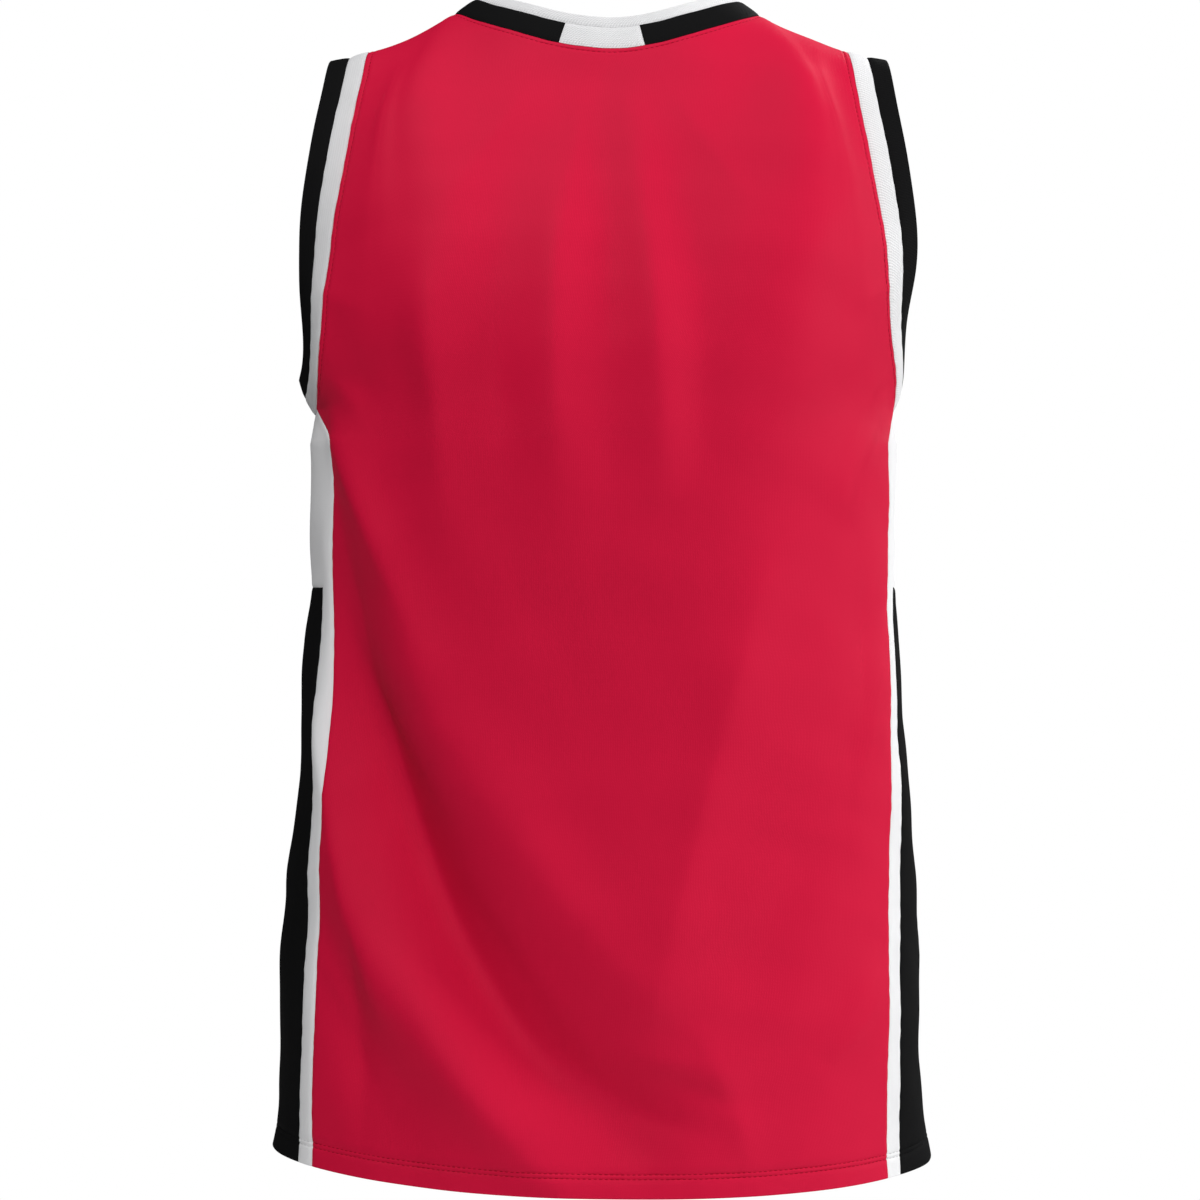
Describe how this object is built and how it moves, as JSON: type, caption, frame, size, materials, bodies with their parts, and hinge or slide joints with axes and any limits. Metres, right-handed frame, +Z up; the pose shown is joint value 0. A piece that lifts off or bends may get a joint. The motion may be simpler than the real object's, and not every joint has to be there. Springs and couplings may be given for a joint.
{
  "type": "basketball jersey",
  "caption": "Sleeveless knit sports jersey with a scooped neck, wide armholes and contrast side panels, filled out in its worn form with hem, neck and armholes open.",
  "frame": {"origin": "midway between the two shoulder straps, level with their high points at the neck, where a wearer or a stand's shoulders hold the jersey up", "axes": "+Z up along the body, +Y towards the back of the garment, +X towards the wearer's left"},
  "size_m": [0.4376, 0.2657, 0.7791],
  "materials": {
    "red_knit": "smooth matt polyester knit with a faint sheen",
    "white_knit": "matt knit with a fine rib",
    "black_knit": "matt knit with a fine rib"
  },
  "bodies": {
    "root": {"back_panel": "red_knit", "front_panel": "red_knit", "side_panel_left": "white_knit", "side_panel_right": "white_knit", "side_insert_left": "black_knit", "side_insert_right": "black_knit", "armhole_inner_left": "white_knit", "armhole_inner_right": "white_knit", "armhole_outer_left": "black_knit", "armhole_outer_right": "black_knit", "neck_band": "black_knit", "neck_block": "white_knit", "neck_edge": "white_knit"}
  },
  "joints": []
}
